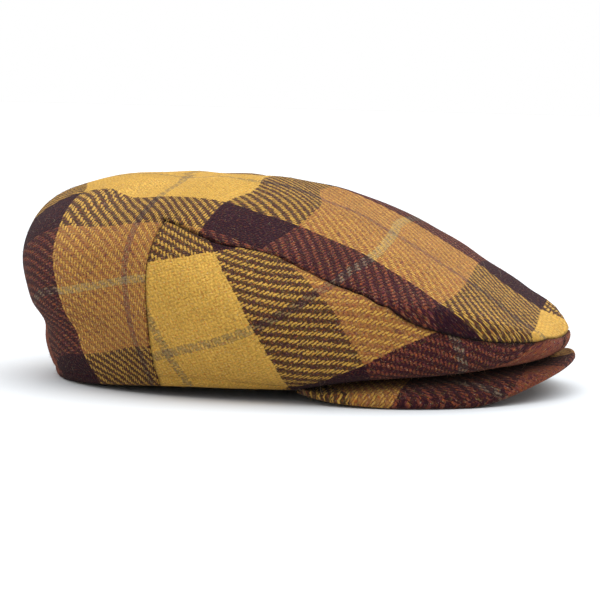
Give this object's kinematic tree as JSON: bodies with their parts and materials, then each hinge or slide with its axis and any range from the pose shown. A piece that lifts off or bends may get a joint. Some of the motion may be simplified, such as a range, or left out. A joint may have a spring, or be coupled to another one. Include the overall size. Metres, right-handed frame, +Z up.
{
  "type": "tweed flat cap",
  "caption": "Flat cap of checked tweed: a top panel down to the back rim, two side panels that narrow round the front, and a short stiff peak.",
  "frame": {"origin": "middle of the underside of the cap's box, on the surface that the cap rests on", "axes": "+X to the front, over the peak, +Y to the wearer's left, +Z up"},
  "size_m": [0.2682, 0.199, 0.0987],
  "materials": {
    "tweed": "matt, hairy woven wool"
  },
  "bodies": {
    "root": {"top_panel": "tweed", "side_panel_right": "tweed", "side_panel_left": "tweed", "peak": "tweed"}
  },
  "joints": []
}
